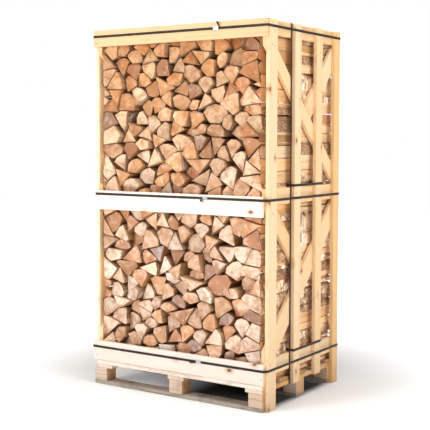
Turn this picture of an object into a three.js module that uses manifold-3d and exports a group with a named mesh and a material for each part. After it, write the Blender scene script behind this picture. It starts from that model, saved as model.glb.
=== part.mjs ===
// Pallet crate of split birch firewood: a nine-block pallet, two braced side walls, boards across
// the front and the back, two tiers of logs, and the plastic straps that hold it all together.
// Millimetres, +Z up. The front, where the log ends show, faces -Y. The origin is the middle of
// the footprint, at floor level.
import * as THREE from 'three';
import { mergeVertices } from 'three/addons/utils/BufferGeometryUtils.js';
import Module from 'manifold-3d';

// Driving dimensions
const WIDTH = 1200; // over the two side walls
const DEPTH = 860; // from the face of the front boards to the back edge of the side walls
const HEIGHT = 2120; // floor to the top edge of the walls
const BOARD = 22; // thickness of every sawn board
const GAP = 0.3; // clearance kept between touching pieces

// Pallet
const RUNNER_WIDTH = 90;
const BLOCK_SIZE = 90;
const BLOCK_HEIGHT = 78;
const CROSS_WIDTH = 110;
const DECK_WIDTHS = [100, 90, 100, 90, 100];

// Side walls: battens outside, rails and braces inside them
const BATTENS = [
  // [front edge, back edge, reaches the floor on the right wall]
  [-408, -320, true],
  [-122, -50, false],
  [132, 208, false],
  [362, 430, true],
];
const TOP_RAIL = [2040, 2120]; // [lower edge, upper edge]
const MIDDLE_RAIL = [1120, 1210];
const BOTTOM_RAIL = [188, 279];
// Braces: [a point on the centre line (y, z), slope, width of the board]
const UPPER_LONG_BRACE = { point: [60, 1584], slope: -0.958, width: 78 };
const UPPER_SHORT_BRACE = { point: [300, 1878], slope: 1.07, width: 96 };
const LOWER_LONG_BRACE = { point: [60, 713], slope: 0.98, width: 112 };
const LOWER_SHORT_BRACE = { point: [-184, 926], slope: -1.05, width: 86 };

// Front boards: [left end, right end, lower edge, upper edge]; back boards: [lower, upper edge]
const FRONT_BOARDS = {
  top: [-600, 600, 2024, 2120],
  middle: [-588, 572, 1058, 1170],
  bottom: [-612, 581, 145, 261],
};
const BACK_BOARDS = {
  top: [2024, 2120],
  middle: [1062, 1170],
  bottom: [145, 257],
};

// Straps
const STRAP_WIDTH = 14;
const STRAP_THICKNESS = 1.2;
const HOOPS = {
  // hoop round the crate at the height of one front board: [middle height, seal's middle]
  top: [2083, 274],
  middle: [1150, 202],
  bottom: [226, 160],
};
const TIE_HEIGHTS = { middle: 1221, bottom: 290 }; // ties through the logs, from wall to wall
const UPRIGHT_CLEARANCE = 3; // between the upright strap and the second batten
const SEAL = { length: 36, height: 20, thickness: 2.4 };

// Log tiers: [front ends, back ends]
const TIERS = { front: [-405, -7], back: [7, 404] };
const LOG_CLEARANCE = 3; // between the logs and the walls
const LOG_TOP = 2110;
const SLOT_CLEARANCE = 1; // round a tie where it passes through the logs

// Heights and planes that follow from these
const BLOCK_BASE = BOARD;
const BLOCK_TOP = BLOCK_BASE + BLOCK_HEIGHT;
const DECK_BASE = BLOCK_TOP + BOARD;
const DECK_TOP = DECK_BASE + BOARD;
const WALL_OUT = WIDTH / 2;
const WALL_MID = WALL_OUT - BOARD; // where the battens meet the rails and braces
const WALL_IN = WALL_MID - BOARD;
const FRONT = -DEPTH / 2;
const BACK = DEPTH / 2;
const WALL_FRONT = FRONT + BOARD;
const FRAME_BACK = BACK - BOARD; // rails and braces stop at the back boards
const TIE_FRONT = BATTENS[1][0]; // the ties go round the second and third battens
const TIE_BACK = BATTENS[2][1];
const STRAP_ARC_STEP = Math.PI / 6;

const wasm = await Module();
wasm.setup();
const crate = new THREE.Group();

const finish = (color, roughness, metalness = 0) =>
  () => new THREE.MeshStandardMaterial({ color, roughness, metalness });
const paleBoard = finish(0xf3e2c4, 0.78);
const warmBoard = finish(0xf0cf93, 0.75);
const palletWood = finish(0xcdb08a, 0.85);
const blockWood = finish(0xd8bd92, 0.85);
const logWood = finish(0xdca876, 0.88);
const strapPlastic = finish(0x2e2822, 0.45);
const sealSteel = finish(0x9a9c9e, 0.4, 0.9);

function add(name, geometry, material) {
  const mesh = new THREE.Mesh(geometry, material());
  mesh.name = name;
  crate.add(mesh);
  return mesh;
}

// A square-sawn board or block between two corners, GAP / 2 in from each of its faces.
function addBoard(name, low, high, material) {
  const size = high.map((value, axis) => value - low[axis] - GAP);
  const mesh = add(name, new THREE.BoxGeometry(...size), material);
  mesh.position.set(...high.map((value, axis) => (value + low[axis]) / 2));
  return mesh;
}

// Pallet: runners and deck boards lie along X, cross boards lie along Y. Its runners and its left
// blocks reach out under the left wall, whose battens stand on them.
function addPallet() {
  const half = WALL_MID;
  const rows = { front: FRONT + BLOCK_SIZE / 2, middle: 0, back: BACK - BLOCK_SIZE / 2 };
  const columns = { left: -WALL_OUT + BLOCK_SIZE / 2, centre: 0, right: half - BLOCK_SIZE / 2 };
  for (const [row, y] of Object.entries(rows)) {
    const low = [-WALL_OUT, y - RUNNER_WIDTH / 2, 0];
    const high = [half, y + RUNNER_WIDTH / 2, BLOCK_BASE];
    const runner = addBoard(`pallet_runner_${row}`, low, high, palletWood);
    runner.position.z -= GAP / 2; // flat on the floor
    for (const [column, x] of Object.entries(columns)) {
      addBoard(
        `pallet_block_${row}_${column}`,
        [x - BLOCK_SIZE / 2, y - BLOCK_SIZE / 2, BLOCK_BASE],
        [x + BLOCK_SIZE / 2, y + BLOCK_SIZE / 2, BLOCK_TOP],
        blockWood,
      );
    }
  }
  const crossEdges = {
    left: [-half, -half + CROSS_WIDTH],
    centre: [-CROSS_WIDTH / 2, CROSS_WIDTH / 2],
    right: [half - CROSS_WIDTH, half],
  };
  for (const [column, [left, right]] of Object.entries(crossEdges)) {
    const name = `pallet_cross_board_${column}`;
    addBoard(name, [left, FRONT, BLOCK_TOP], [right, BACK, DECK_BASE], palletWood);
  }
  const used = DECK_WIDTHS.reduce((sum, width) => sum + width, 0);
  const space = (DEPTH - used) / (DECK_WIDTHS.length - 1);
  let y = FRONT;
  DECK_WIDTHS.forEach((width, index) => {
    const name = `pallet_deck_board_${index + 1}`;
    addBoard(name, [-half, y, DECK_BASE], [half, y + width, DECK_TOP], palletWood);
    y += width + space;
  });
}

// Keeps the part of a convex outline where a * y + b * z <= c.
function clip(outline, a, b, c) {
  const kept = [];
  outline.forEach(([y, z], index) => {
    const [nextY, nextZ] = outline[(index + 1) % outline.length];
    const here = a * y + b * z - c;
    const next = a * nextY + b * nextZ - c;
    if (here <= 0) kept.push([y, z]);
    if ((here < 0 && next > 0) || (here > 0 && next < 0)) {
      const share = here / (here - next);
      kept.push([y + share * (nextY - y), z + share * (nextZ - z)]);
    }
  });
  return kept;
}

// Height of a brace's upper (side 1) or lower (side -1) edge at y = 0.
function edgeAtZero({ point, slope, width }, side) {
  const rise = (width / 2) * Math.hypot(1, slope);
  return point[1] - slope * point[0] + side * rise;
}

// A brace's outline in its bay, between two rails, cut against the long brace where it meets one.
function braceOutline(brace, [low, high], against) {
  let outline = [
    [WALL_FRONT, low],
    [FRAME_BACK, low],
    [FRAME_BACK, high],
    [WALL_FRONT, high],
  ];
  outline = clip(outline, -brace.slope, 1, edgeAtZero(brace, 1));
  outline = clip(outline, brace.slope, -1, -edgeAtZero(brace, -1));
  if (against) {
    outline = clip(outline, against.slope, -1, -edgeAtZero(against, 1) - 2 * GAP);
  }
  return outline;
}

// An outline in the (y, z) plane, extruded along X from one plane to another.
function extrudeAlongX(outline, from, to) {
  const shape = new THREE.Shape(outline.map(([y, z]) => new THREE.Vector2(y, z)));
  const geometry = new THREE.ExtrudeGeometry(shape, { depth: to - from, bevelEnabled: false });
  const axes = new THREE.Matrix4().makeBasis(
    new THREE.Vector3(0, 1, 0),
    new THREE.Vector3(0, 0, 1),
    new THREE.Vector3(1, 0, 0),
  );
  return geometry.applyMatrix4(axes).translate(from, 0, 0);
}

// One side wall; side is -1 for the left wall and 1 for the right one.
function addSideWall(prefix, side) {
  const between = (inner, outer) => (side > 0 ? [inner, outer] : [-outer, -inner]);
  const [battenLow, battenHigh] = between(WALL_MID, WALL_OUT);
  BATTENS.forEach(([front, back, onFloor], index) => {
    const name = `${prefix}_batten_${index + 1}`;
    const foot = onFloor && side > 0 ? 0 : BLOCK_TOP;
    addBoard(name, [battenLow, front, foot], [battenHigh, back, HEIGHT], warmBoard);
  });
  const [railLow, railHigh] = between(WALL_IN, WALL_MID);
  const rails = { top: TOP_RAIL, middle: MIDDLE_RAIL, bottom: BOTTOM_RAIL };
  for (const [level, [low, high]] of Object.entries(rails)) {
    const name = `${prefix}_rail_${level}`;
    addBoard(name, [railLow, WALL_FRONT, low], [railHigh, FRAME_BACK, high], warmBoard);
  }
  const upperBay = [MIDDLE_RAIL[1] + GAP / 2, TOP_RAIL[0] - GAP / 2];
  const lowerBay = [BOTTOM_RAIL[1] + GAP / 2, MIDDLE_RAIL[0] - GAP / 2];
  const braces = {
    upper_long: braceOutline(UPPER_LONG_BRACE, upperBay),
    upper_short: braceOutline(UPPER_SHORT_BRACE, upperBay, UPPER_LONG_BRACE),
    lower_long: braceOutline(LOWER_LONG_BRACE, lowerBay),
    lower_short: braceOutline(LOWER_SHORT_BRACE, lowerBay, LOWER_LONG_BRACE),
  };
  for (const [kind, outline] of Object.entries(braces)) {
    const solid = extrudeAlongX(outline, railLow + GAP / 2, railHigh - GAP / 2);
    add(`${prefix}_brace_${kind}`, solid, warmBoard);
  }
}

function addFrontAndBack() {
  for (const [level, [left, right, low, high]] of Object.entries(FRONT_BOARDS)) {
    addBoard(`front_board_${level}`, [left, FRONT, low], [right, WALL_FRONT, high], paleBoard);
  }
  for (const [level, [low, high]] of Object.entries(BACK_BOARDS)) {
    const right = [WALL_MID, BACK, high];
    addBoard(`back_board_${level}`, [-WALL_MID, FRAME_BACK, low], right, paleBoard);
  }
}

// The outline round a convex ring of corners, at a distance from it: an arc at each sharp corner,
// one point where the outline hardly turns.
function roundCorners(corners, distance) {
  const count = corners.length;
  return corners.flatMap(([x, y], index) => {
    const [lastX, lastY] = corners[(index + count - 1) % count];
    const [nextX, nextY] = corners[(index + 1) % count];
    const from = Math.atan2(y - lastY, x - lastX) - Math.PI / 2;
    const leaving = Math.atan2(nextY - y, nextX - x) - Math.PI / 2;
    const turn = THREE.MathUtils.euclideanModulo(leaving - from, 2 * Math.PI);
    const steps = Math.round(turn / STRAP_ARC_STEP);
    return Array.from({ length: steps + 1 }, (_, step) => {
      const angle = steps ? from + (turn * step) / steps : from + turn / 2;
      return new THREE.Vector2(x + distance * Math.cos(angle), y + distance * Math.sin(angle));
    });
  });
}

// A closed band of strap pulled tight round corners given counter-clockwise in the band's plane.
function strapLoop(corners) {
  const shape = new THREE.Shape(roundCorners(corners, GAP + STRAP_THICKNESS));
  shape.holes.push(new THREE.Path(roundCorners(corners, GAP)));
  return new THREE.ExtrudeGeometry(shape, { depth: STRAP_WIDTH, bevelEnabled: false });
}

// Corners of everything that a hoop goes round at the height of one front board.
function hoopCorners([left, right]) {
  const corners = [
    [WALL_OUT, BACK],
    [-WALL_OUT, BACK],
  ];
  if (left !== -WALL_OUT) corners.push([Math.min(-WALL_OUT, left), WALL_FRONT]);
  corners.push([left, FRONT], [right, FRONT]);
  if (right !== WALL_OUT) corners.push([WALL_OUT, WALL_FRONT]);
  return corners;
}

function addStraps() {
  const sealFace = FRONT - 2 * GAP - STRAP_THICKNESS;
  for (const [level, [height, sealMiddle]] of Object.entries(HOOPS)) {
    const corners = hoopCorners(FRONT_BOARDS[level]);
    const hoop = add(`strap_hoop_${level}`, strapLoop(corners), strapPlastic);
    hoop.position.z = height - STRAP_WIDTH / 2;
    const box = new THREE.BoxGeometry(SEAL.length, SEAL.thickness, SEAL.height);
    const seal = add(`strap_seal_${level}`, box, sealSteel);
    seal.position.set(sealMiddle, sealFace - SEAL.thickness / 2, height);
  }
  // Over the top and under the cross boards, just in front of the second batten of each wall.
  const upright = strapLoop([
    [WALL_MID, HEIGHT],
    [-WALL_MID, HEIGHT],
    [-WALL_MID, BLOCK_TOP],
    [WALL_MID, BLOCK_TOP],
  ]);
  const strap = add('strap_upright', upright, strapPlastic);
  strap.rotation.x = Math.PI / 2;
  strap.position.y = TIE_FRONT - UPRIGHT_CLEARANCE;
  for (const [level, height] of Object.entries(TIE_HEIGHTS)) {
    const corners = [
      [WALL_OUT, TIE_BACK],
      [-WALL_OUT, TIE_BACK],
      [-WALL_OUT, TIE_FRONT],
      [WALL_OUT, TIE_FRONT],
    ];
    const tie = add(`strap_tie_${level}`, strapLoop(corners), strapPlastic);
    tie.position.z = height - STRAP_WIDTH / 2;
  }
}

// A box geometry as a solid that can be cut.
function solidBox(low, high) {
  const size = high.map((value, axis) => value - low[axis]);
  const middle = high.map((value, axis) => (value + low[axis]) / 2);
  const box = new THREE.BoxGeometry(...size).translate(...middle);
  box.deleteAttribute('normal');
  box.deleteAttribute('uv');
  const merged = mergeVertices(box);
  const vertProperties = new Float32Array(merged.attributes.position.array);
  const triVerts = new Uint32Array(merged.index.array);
  return new wasm.Manifold(new wasm.Mesh({ numProp: 3, vertProperties, triVerts }));
}

function geometryOf(solid) {
  const mesh = solid.getMesh();
  const geometry = new THREE.BufferGeometry();
  geometry.setAttribute('position', new THREE.BufferAttribute(mesh.vertProperties, 3));
  geometry.setIndex(new THREE.BufferAttribute(mesh.triVerts, 1));
  geometry.computeVertexNormals();
  return geometry;
}

// Each tier of logs is one plain block out to the logs' tips, with slots for the ties.
function addLogs() {
  const reach = WALL_IN - LOG_CLEARANCE;
  const strands = [TIE_FRONT - GAP - STRAP_THICKNESS, TIE_BACK + GAP];
  for (const [place, [front, back]] of Object.entries(TIERS)) {
    let block = solidBox([-reach, front, DECK_TOP + GAP], [reach, back, LOG_TOP]);
    for (const strand of strands) {
      if (strand < front || strand > back) continue;
      for (const height of Object.values(TIE_HEIGHTS)) {
        const low = height - STRAP_WIDTH / 2 - SLOT_CLEARANCE;
        const high = height + STRAP_WIDTH / 2 + SLOT_CLEARANCE;
        const near = strand - SLOT_CLEARANCE;
        const far = strand + STRAP_THICKNESS + SLOT_CLEARANCE;
        block = block.subtract(solidBox([-WIDTH, near, low], [WIDTH, far, high]));
      }
    }
    add(`logs_${place}_tier`, geometryOf(block), logWood);
  }
}

addPallet();
addSideWall('left', -1);
addSideWall('right', 1);
addFrontAndBack();
addStraps();
addLogs();

export default crate;
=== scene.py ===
"""Pallet crate of split birch firewood: the timber, the stacked logs, the straps and their seals.

Metres, +Z up, the front of the crate faces -Y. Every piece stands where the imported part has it.
"""
import math

import bmesh
import bpy
import numpy as np
from mathutils import Matrix, Vector, noise
from numpy.lib.stride_tricks import sliding_window_view


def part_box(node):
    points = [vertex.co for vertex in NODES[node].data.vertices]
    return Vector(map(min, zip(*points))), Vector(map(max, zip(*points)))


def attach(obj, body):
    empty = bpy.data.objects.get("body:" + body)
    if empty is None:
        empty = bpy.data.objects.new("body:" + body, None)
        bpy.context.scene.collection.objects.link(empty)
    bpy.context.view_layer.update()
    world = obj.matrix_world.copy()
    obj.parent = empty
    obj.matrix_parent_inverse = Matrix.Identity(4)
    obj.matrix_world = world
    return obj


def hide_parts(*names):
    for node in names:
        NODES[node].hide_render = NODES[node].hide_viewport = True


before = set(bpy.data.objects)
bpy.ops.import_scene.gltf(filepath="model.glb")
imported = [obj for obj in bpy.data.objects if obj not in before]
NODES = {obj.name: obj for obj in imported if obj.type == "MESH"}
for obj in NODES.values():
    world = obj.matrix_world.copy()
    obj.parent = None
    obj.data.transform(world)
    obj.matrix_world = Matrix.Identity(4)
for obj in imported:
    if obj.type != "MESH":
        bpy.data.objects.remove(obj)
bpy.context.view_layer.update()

MM = 0.001


# ---------------------------------------------------------------- colours and shader maths


def paint(red, green, blue):
    """A display colour, 0 to 255 a channel, as the linear colour that shaders use."""
    channels = []
    for value in (red, green, blue):
        share = value / 255
        channels.append(share / 12.92 if share <= 0.04045 else ((share + 0.055) / 1.055) ** 2.4)
    return (*channels, 1.0)


class Socket:
    """An output of a shader node. Arithmetic on it adds Math nodes."""

    def __init__(self, finish, output):
        self.finish = finish
        self.output = output

    def math(self, operation, *values, clamp=False):
        settings = {"operation": operation, "use_clamp": clamp}
        return self.finish.node("ShaderNodeMath", settings, dict(enumerate(values)))

    def __add__(self, other):
        return self.math("ADD", self, other)

    def __sub__(self, other):
        return self.math("SUBTRACT", self, other)

    def __rsub__(self, other):
        return self.math("SUBTRACT", other, self)

    def __mul__(self, other):
        return self.math("MULTIPLY", self, other)

    __radd__ = __add__
    __rmul__ = __mul__

    def sine(self):
        return self.math("SINE", self)

    def size(self):
        return self.math("ABSOLUTE", self)

    def clipped(self):
        return self.math("ADD", self, 0.0, clamp=True)

    def step(self, low, high):
        """0 below low, 1 above high, and a smooth rise between. low may be above high."""
        return self.finish.node(
            "ShaderNodeMapRange",
            {"interpolation_type": "SMOOTHSTEP"} if low < high else {},
            {"Value": self, "From Min": low, "From Max": high},
        )


class Finish:
    """A material with one Principled shader, and the nodes that feed it."""

    def __init__(self, name, roughness=0.6, metallic=0.0, specular=0.4):
        self.material = bpy.data.materials.new(name)
        self.material.use_nodes = True
        self.tree = self.material.node_tree
        self.shader = self.tree.nodes["Principled BSDF"]
        self.shader.inputs["Roughness"].default_value = roughness
        self.shader.inputs["Metallic"].default_value = metallic
        self.shader.inputs["Specular IOR Level"].default_value = specular

    def node(self, kind, settings=None, sockets=None, output=0):
        made = self.tree.nodes.new(kind)
        for key, value in (settings or {}).items():
            if key == "stops":
                self.set_stops(made.color_ramp, value)
            else:
                setattr(made, key, value)
        for key, value in (sockets or {}).items():
            if isinstance(value, Socket):
                self.tree.links.new(value.output, made.inputs[key])
            else:
                made.inputs[key].default_value = value
        return Socket(self, made.outputs[output])

    def set_stops(self, ramp, stops):
        while len(ramp.elements) < len(stops):
            ramp.elements.new(0.5)
        for element, (place, colour) in zip(ramp.elements, stops):
            element.position = place
            element.color = colour

    def mix(self, share, first, second, blend="MIX"):
        settings = {"data_type": "RGBA", "blend_type": blend}
        return self.node("ShaderNodeMix", settings, {0: share, 6: first, 7: second}, 2)

    def ramp(self, value, stops):
        return self.node("ShaderNodeValToRGB", {"stops": stops}, {0: value})

    def place(self):
        """Where a point of the surface is on the crate, in metres."""
        return self.node("ShaderNodeTexCoord", output=3)

    def attribute(self, name):
        return self.node("ShaderNodeAttribute", {"attribute_name": name}, output=1)

    def number(self, name):
        """An attribute of the mesh that is a single number."""
        return self.node("ShaderNodeAttribute", {"attribute_name": name}, output=2)

    def split(self, vector):
        """The three parts of a vector."""
        made = self.tree.nodes.new("ShaderNodeSeparateXYZ")
        self.tree.links.new(vector.output, made.inputs[0])
        return [Socket(self, output) for output in made.outputs]

    def joined(self, x, y, z):
        return self.node("ShaderNodeCombineXYZ", sockets={0: x, 1: y, 2: z})

    def stretched(self, vector, x, y, z):
        settings = {"operation": "MULTIPLY"}
        return self.node("ShaderNodeVectorMath", settings, {0: vector, 1: (x, y, z)})

    def length(self, vector):
        return self.node("ShaderNodeVectorMath", {"operation": "LENGTH"}, {0: vector}, 1)

    def noise(self, vector, scale, detail=2.0, roughness=0.5):
        sockets = {"Vector": vector, "Scale": scale, "Detail": detail, "Roughness": roughness}
        return self.node("ShaderNodeTexNoise", sockets=sockets)

    def line_noise(self, value, scale, detail=1.0):
        sockets = {"W": value, "Scale": scale, "Detail": detail}
        return self.node("ShaderNodeTexNoise", {"noise_dimensions": "1D"}, sockets)

    def cells(self, vector, scale, feature="F1"):
        sockets = {"Vector": vector, "Scale": scale}
        return self.node("ShaderNodeTexVoronoi", {"feature": feature}, sockets)

    def layered(self, colour, *layers):
        """Lays paints over a colour, each as (share, paint)."""
        for share, over in layers:
            colour = self.mix(share, colour, over)
        return colour

    def tinted(self, share, colour, tint):
        return self.mix(share, colour, tint, "MULTIPLY")

    def lit(self, colour, light):
        """A colour made lighter or darker by a factor."""
        return self.tinted(1.0, colour, self.joined(light, light, light))

    def apply(self, colour=None, roughness=None, height=None, relief=0.001, strength=1.0):
        """Joins the finished colour, roughness and relief (metres for a height of 1)."""
        if colour is not None:
            self.tree.links.new(colour.output, self.shader.inputs["Base Color"])
        if roughness is not None:
            self.tree.links.new(roughness.output, self.shader.inputs["Roughness"])
        if height is not None:
            sockets = {"Height": height, "Distance": relief, "Strength": strength}
            bump = self.node("ShaderNodeBump", sockets=sockets)
            self.tree.links.new(bump.output, self.shader.inputs["Normal"])
        return self.material


# ---------------------------------------------------------------- finishes


def timber(name, pale, warm, dark, rings, dirt, ends):
    """Sawn softwood. `grain` runs (along, across, through) the board from the tree's middle,
    `tone` holds (hue, light, seed) for each board, and `sawn_end` is 1 where it has yellowed."""
    pale, warm, dark = paint(*pale), paint(*warm), paint(*dark)
    finish = Finish(name, specular=0.3)
    along, across, through = finish.split(finish.attribute("grain"))
    hue, light, seed = finish.split(finish.attribute("tone"))
    place = finish.place()
    knot_distance = finish.cells(finish.joined(along, across * 1.6, seed * 9.0), 4.6)
    knot_core = knot_distance.step(0.085, 0.05)
    knot_ring = knot_distance.step(0.2, 0.06)
    sway = finish.noise(finish.joined(along * 1.1, across * 0.6, seed * 7.0), 2.2)
    middle = finish.joined(0.0, across + (sway - 0.5) * 0.05, through + 0.012)
    radius = finish.length(middle) + knot_ring * 0.009 + (sway - 0.5) * 0.02
    late_wood = finish.line_noise(radius + seed * 3.0, 210.0).step(0.52, 0.72)
    fibre_place = finish.joined(along * 9.0, across * 420.0, through * 420.0)
    fibre = finish.noise(fibre_place, 1.0, 3.0, 0.6)
    blotch = finish.noise(finish.joined(along, across * 3.0, seed * 11.0), 3.2, 3.0, 0.55)
    saw = finish.line_noise(along + across * 0.22, 330.0, 2.0)
    grime = finish.noise(place, 7.0, 5.0, 0.65).step(0.5, 0.78)
    low = finish.split(place)[2].step(0.16, 0.0)
    colour = finish.layered(
        finish.mix(hue.clipped(), pale, warm),
        (late_wood * (0.36 * rings), dark),
        (fibre.step(0.5, 0.8) * 0.2, dark),
        (blotch.step(0.42, 0.75) * 0.22, warm),
        (knot_ring * 0.5, paint(196, 132, 74)),
        (knot_core * 0.85, paint(112, 62, 32)),
        (grime * dirt, paint(120, 100, 84)),
    )
    colour = finish.tinted(finish.number("sawn_end") * ends, colour, paint(230, 190, 118))
    colour = finish.tinted(low * (0.3 + grime * 0.5) * 0.7, colour, paint(150, 134, 118))
    rough = 0.62 + fibre * 0.2 - late_wood * 0.08
    height = fibre * 0.5 + saw * 0.45 - late_wood * 0.3 - knot_core * 0.5
    return finish.apply(finish.lit(colour, light), rough, height, 0.0009, 0.55)


END_GRAIN = [
    (0.0, paint(252, 238, 224)),
    (0.22, paint(244, 216, 190)),
    (0.42, paint(234, 192, 160)),
    (0.6, paint(224, 172, 128)),
    (0.76, paint(208, 152, 116)),
    (0.9, paint(172, 132, 108)),
    (1.0, paint(182, 160, 154)),
]
SPLIT_WOOD = [
    (0.0, paint(250, 226, 192)),
    (0.35, paint(242, 206, 158)),
    (0.7, paint(226, 176, 120)),
    (1.0, paint(190, 138, 98)),
]
BARK_PAPER = [
    (0.34, paint(255, 244, 226)),
    (0.46, paint(246, 224, 196)),
    (0.56, paint(220, 182, 142)),
    (0.7, paint(164, 118, 82)),
]


def log_end_finish():
    """Sawn end of a birch log. `grain` runs across the end from the log's pith, in metres, and
    `rim` is 1 at the end's edge."""
    finish = Finish("birch_end_grain", specular=0.25)
    across, up, _ = finish.split(finish.attribute("grain"))
    hue, light, seed = finish.split(finish.attribute("tone"))
    flat = finish.joined(across, up, seed * 5.0)
    wander = finish.noise(flat, 30.0) - 0.5
    radius = finish.length(finish.joined(across, up, 0.0))
    angle = up.math("ARCTAN2", up, across)
    rings = finish.line_noise(radius + wander * 0.004 + seed, 330.0)
    rays = finish.line_noise(angle + seed * 4.0 + wander * 0.06, 34.0, 2.0)
    crack = finish.line_noise(angle + seed * 13.0 + wander * 0.05, 2.6, 0.0)
    crack_line = (crack - 0.5).size().step(0.012, 0.003)
    crack_line = crack_line * radius.step(0.012, 0.02) * radius.step(0.085, 0.05)
    saw_place = finish.joined(across * 30.0 + up * 12.0, up * 330.0 - across * 90.0, seed)
    saw = finish.noise(saw_place, 1.0)
    stain = finish.noise(flat, 24.0, 4.0, 0.66)
    heart = radius.step(0.075, 0.012) * stain.step(0.25, 0.6)
    edge = finish.number("rim")
    colour = finish.layered(
        finish.ramp(hue, END_GRAIN),
        (heart * 0.5, paint(190, 118, 68)),
        (stain.step(0.46, 0.68) * 0.65, paint(188, 132, 100)),
        (stain.step(0.48, 0.26) * 0.6, paint(255, 246, 234)),
        # Darker brown towards the end's edge: partly the end's own darker rim, partly painted shade in
        # the gaps between the logs.
        (edge * edge * 0.55, paint(132, 84, 56)),
        (rings.step(0.5, 0.75) * 0.3, paint(170, 112, 72)),
        (rays.step(0.5, 0.8) * 0.34, paint(182, 126, 86)),
        (saw.step(0.54, 0.75) * 0.25, paint(160, 112, 82)),
        (crack_line * 0.75, paint(92, 54, 34)),
    )
    z = finish.split(finish.place())[2]
    colour = finish.tinted(z.step(0.7, 1.7) * 0.7, colour, paint(253, 236, 204))
    # Painted shade: the log ends darken near the top of the pile, under the top board.
    colour = finish.tinted(z.step(1.75, 2.05) * 0.8, colour, paint(238, 216, 186))
    height = rings * 0.25 + rays * 0.35 + saw * 0.6 - crack_line * 1.4
    return finish.apply(finish.lit(colour, light), 0.7 + saw * 0.18, height, 0.0008, 0.6)


def side_light(finish, colour, light, shade, tint):
    """Paints shade on a log's side inside the pile, and paints light on it where it faces a side wall.
    """
    x = finish.split(finish.place())[0]
    inside = x.size().step(0.549, 0.52)
    colour = finish.tinted(inside * shade, colour, tint)
    return finish.lit(colour, light + 0.16 * (1 - inside))


def split_face_finish():
    """Face of a log where the axe opened it: long torn fibres along the log."""
    finish = Finish("birch_split_face", specular=0.25)
    place = finish.place()
    x, y, z = finish.split(place)
    hue, light, _ = finish.split(finish.attribute("tone"))
    wave = (finish.noise(finish.stretched(place, 1.0, 0.8, 1.0), 14.0) - 0.5) * 2.4
    fibre_place = finish.joined(x * 130.0 + wave, y * 7.0, z * 130.0 + wave)
    fibre = finish.noise(fibre_place, 1.0, 4.0, 0.62)
    streak = finish.noise(finish.stretched(place, 34.0, 2.2, 34.0), 1.0, 3.0)
    stain = finish.noise(place, 11.0, 3.0, 0.6)
    colour = finish.layered(
        finish.ramp(hue, SPLIT_WOOD),
        (streak.step(0.46, 0.72) * 0.45, paint(186, 128, 80)),
        (fibre.step(0.48, 0.74) * 0.35, paint(150, 98, 60)),
        (stain.step(0.55, 0.8) * 0.35, paint(168, 122, 90)),
    )
    # Painted shade on the sides inside the pile, painted light on those facing a side wall.
    colour = side_light(finish, colour, light, 0.5, paint(150, 112, 82))
    height = fibre * 0.7 + streak * 0.6
    return finish.apply(colour, 0.68 + fibre * 0.2, height, 0.0022, 0.75)


def bark_finish():
    """Birch bark: white paper with dark breathing slits, and grey or brown rough patches."""
    finish = Finish("birch_bark", specular=0.3)
    place = finish.place()
    x, y, z = finish.split(place)
    _, light, seed = finish.split(finish.attribute("tone"))
    slit = finish.noise(finish.stretched(place, 22.0, 210.0, 22.0), 1.0).step(0.62, 0.7)
    band = finish.noise(finish.stretched(place, 5.0, 26.0, 5.0), 1.0, 4.0, 0.62)
    blot = finish.noise(finish.stretched(place, 26.0, 60.0, 26.0), 1.0, 3.0).step(0.6, 0.66)
    patch = finish.noise(finish.joined(x, y, z + seed * 3.0), 17.0, 5.0, 0.66)
    plates = finish.cells(finish.stretched(place, 60.0, 42.0, 60.0), 1.0, "DISTANCE_TO_EDGE")
    furrow = plates.step(0.12, 0.03)
    rough_part = (patch + seed * 0.3 - 0.1).step(0.5, 0.57)
    paper = finish.layered(
        finish.ramp(band, BARK_PAPER),
        (blot * 0.6, paint(140, 104, 78)),
        (slit * 0.85, paint(58, 42, 34)),
    )
    crust = finish.mix(patch.step(0.4, 0.7), paint(212, 170, 130), paint(172, 134, 102))
    crust = finish.mix(furrow * 0.65, crust, paint(88, 60, 42))
    colour = finish.mix(rough_part, paper, crust)
    # Painted shade on the bark inside the pile, painted light where it faces a side wall.
    colour = side_light(finish, colour, light, 0.4, paint(160, 126, 96))
    height = band * 0.4 - slit * 0.5 + rough_part * (0.6 - furrow * 1.2)
    return finish.apply(colour, 0.5 + rough_part * 0.35, height, 0.0026, 0.8)


def bark_rim_finish():
    """Bark cut through at a log's end: a dark, reddish brown line."""
    finish = Finish("birch_bark_cut", specular=0.2)
    crumb = finish.noise(finish.place(), 420.0, 3.0, 0.6)
    layer = finish.noise(finish.place(), 60.0, 3.0, 0.6)
    colour = finish.layered(
        finish.mix(crumb.step(0.35, 0.7), paint(70, 38, 26), paint(122, 74, 48)),
        (layer.step(0.5, 0.68) * 0.4, paint(176, 128, 94)),
        (finish.number("rim").step(0.5, 0.2), paint(214, 164, 128)),
    )
    return finish.apply(colour, 0.75 + crumb * 0.15, crumb, 0.0006)


def strap_finish():
    """Dark brown polypropylene strap with a pressed waffle."""
    finish = Finish("strap_plastic", specular=0.25)
    x, y, z = finish.split(finish.place())
    run = (x + y) * 1500.0
    rise = z * 1500.0
    waffle = (run + rise).sine() * (run - rise).sine()
    scuff = finish.noise(finish.stretched(finish.place(), 40.0, 40.0, 40.0), 1.0, 4.0, 0.65)
    colour = finish.mix(scuff.step(0.45, 0.75), paint(50, 41, 35), paint(78, 67, 57))
    return finish.apply(colour, 0.45 + scuff * 0.25, waffle * 0.5 + 0.5, 0.0003, 0.7)


def seal_finish():
    """Thin galvanised steel, a little dulled."""
    finish = Finish("seal_steel", metallic=0.9, specular=0.5)
    spangle = finish.cells(finish.place(), 420.0)
    smear = finish.noise(finish.place(), 90.0, 4.0, 0.6)
    colour = finish.mix(spangle.step(0.2, 0.7), paint(168, 170, 172), paint(206, 208, 208))
    colour = finish.mix(smear.step(0.55, 0.75) * 0.5, colour, paint(120, 112, 104))
    return finish.apply(colour, 0.28 + smear * 0.25, smear, 0.0003)


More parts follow.
